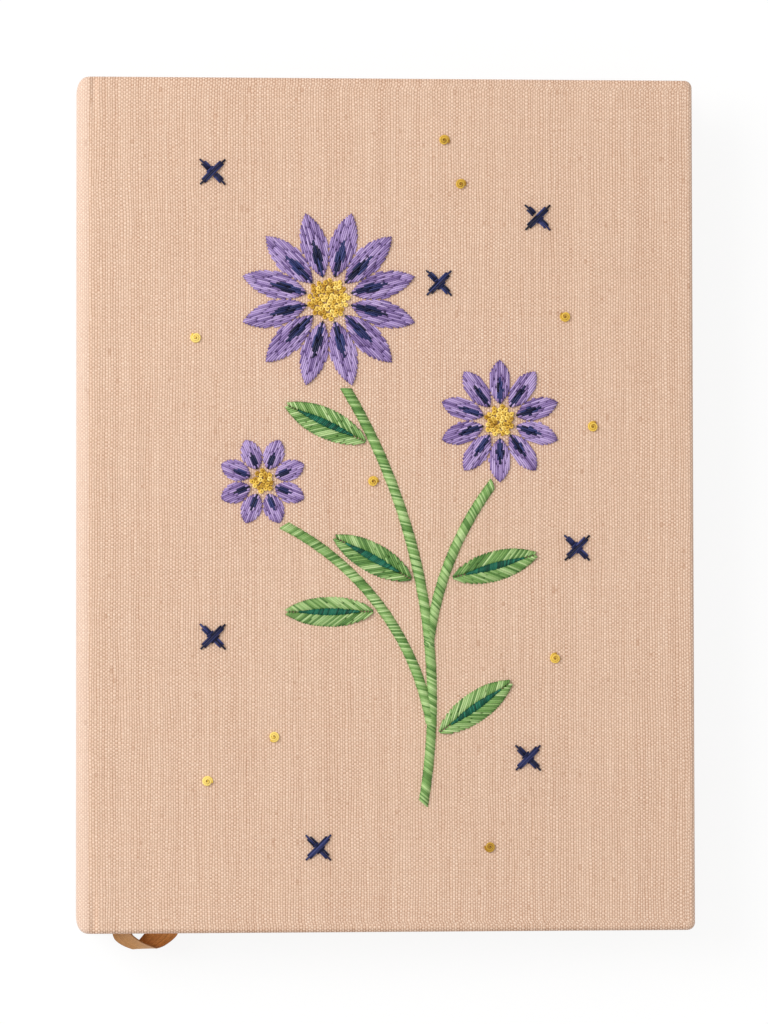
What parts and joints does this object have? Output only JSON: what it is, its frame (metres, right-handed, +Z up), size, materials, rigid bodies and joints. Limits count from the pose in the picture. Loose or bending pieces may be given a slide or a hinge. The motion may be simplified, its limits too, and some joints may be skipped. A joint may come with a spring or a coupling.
{
  "type": "needle case",
  "caption": "Book-form needle case: cloth-covered boards with an embroidered front, a soft-edged spine, sewn felt leaves that hold needles, and a ribbon marker.",
  "frame": {"origin": "on the surface that the closed case lies on, under the middle of the case without its ribbon", "axes": "+Z up, from the back cover to the embroidered front; +Y towards the head; the spine is at -X"},
  "size_m": [0.112, 0.158, 0.016],
  "materials": {
    "linen": "slub linen, plain weave, matt",
    "greyboard": "grey pressed board, matt",
    "lining": "laid lining paper, matt",
    "stabiliser": "white non-woven, matt",
    "felt": "cream wool felt, matt",
    "binding_thread": "waxed linen thread",
    "ribbon": "brown satin",
    "violet_thread": "violet embroidery thread, silky",
    "navy_thread": "navy embroidery thread, silky",
    "yellow_thread": "yellow embroidery thread, silky",
    "green_thread": "leaf green embroidery thread, silky",
    "dark_green_thread": "dark green embroidery thread, silky"
  },
  "bodies": {
    "back_cover": {"back_cloth": "linen", "back_board": "greyboard", "back_lining": "lining"},
    "spine": {"spine_cloth": "linen", "spine_stiffener": "greyboard", "spine_lining": "lining", "outer_fold": "felt", "middle_fold": "felt", "inner_fold": "felt", "binding_thread": "binding_thread"},
    "front_cover": {"front_cloth": "linen", "embroidery_backing": "stabiliser", "front_board": "greyboard", "front_lining": "lining", "embroidered_petals": "violet_thread", "petal_shading": "navy_thread", "flower_centres": "yellow_thread", "embroidered_stems": "green_thread", "embroidered_leaves": "green_thread", "leaf_veins": "dark_green_thread", "scattered_crosses": "navy_thread", "scattered_knots": "yellow_thread"},
    "leaf_1": {"felt_leaf_1": "felt"},
    "leaf_2": {"felt_leaf_2": "felt"},
    "leaf_3": {"felt_leaf_3": "felt", "ribbon_marker": "ribbon"},
    "leaf_4": {"felt_leaf_4": "felt"},
    "leaf_5": {"felt_leaf_5": "felt"},
    "leaf_6": {"felt_leaf_6": "felt"}
  },
  "joints": [
    {"name": "spine_hinge", "type": "hinge", "parent": "back_cover", "child": "spine", "pos_m": [-0.0528, 0, 0], "axis": [0, -1, 0], "range_deg": [0, 30]},
    {"name": "front_hinge", "type": "hinge", "parent": "spine", "child": "front_cover", "pos_m": [-0.0528, 0, 0.0153], "axis": [0, -1, 0], "range_deg": [0, 155]},
    {"name": "leaf_1_turn", "type": "hinge", "parent": "spine", "child": "leaf_1", "pos_m": [-0.0489, 0, 0.0039], "axis": [0, -1, 0], "range_deg": [-19.5, 0]},
    {"name": "leaf_2_turn", "type": "hinge", "parent": "spine", "child": "leaf_2", "pos_m": [-0.04765, 0, 0.00525], "axis": [0, -1, 0], "range_deg": [-11.5, 0]},
    {"name": "leaf_3_turn", "type": "hinge", "parent": "spine", "child": "leaf_3", "pos_m": [-0.0464, 0, 0.0066], "axis": [0, -1, 0], "range_deg": [-3.5, 0]},
    {"name": "leaf_4_turn", "type": "hinge", "parent": "spine", "child": "leaf_4", "pos_m": [-0.0464, 0, 0.0085], "axis": [0, -1, 0], "range_deg": [0, 72.5]},
    {"name": "leaf_5_turn", "type": "hinge", "parent": "spine", "child": "leaf_5", "pos_m": [-0.04765, 0, 0.00985], "axis": [0, -1, 0], "range_deg": [0, 85.5]},
    {"name": "leaf_6_turn", "type": "hinge", "parent": "spine", "child": "leaf_6", "pos_m": [-0.0489, 0, 0.0112], "axis": [0, -1, 0], "range_deg": [0, 98.5]}
  ],
  "couplings": [
    {"joint": "leaf_1_turn", "follows": "spine_hinge", "ratio": -0.63333},
    {"joint": "leaf_2_turn", "follows": "spine_hinge", "ratio": -0.36667},
    {"joint": "leaf_3_turn", "follows": "spine_hinge", "ratio": -0.1},
    {"joint": "leaf_4_turn", "follows": "front_hinge", "ratio": 0.46452},
    {"joint": "leaf_5_turn", "follows": "front_hinge", "ratio": 0.54839},
    {"joint": "leaf_6_turn", "follows": "front_hinge", "ratio": 0.63226}
  ]
}
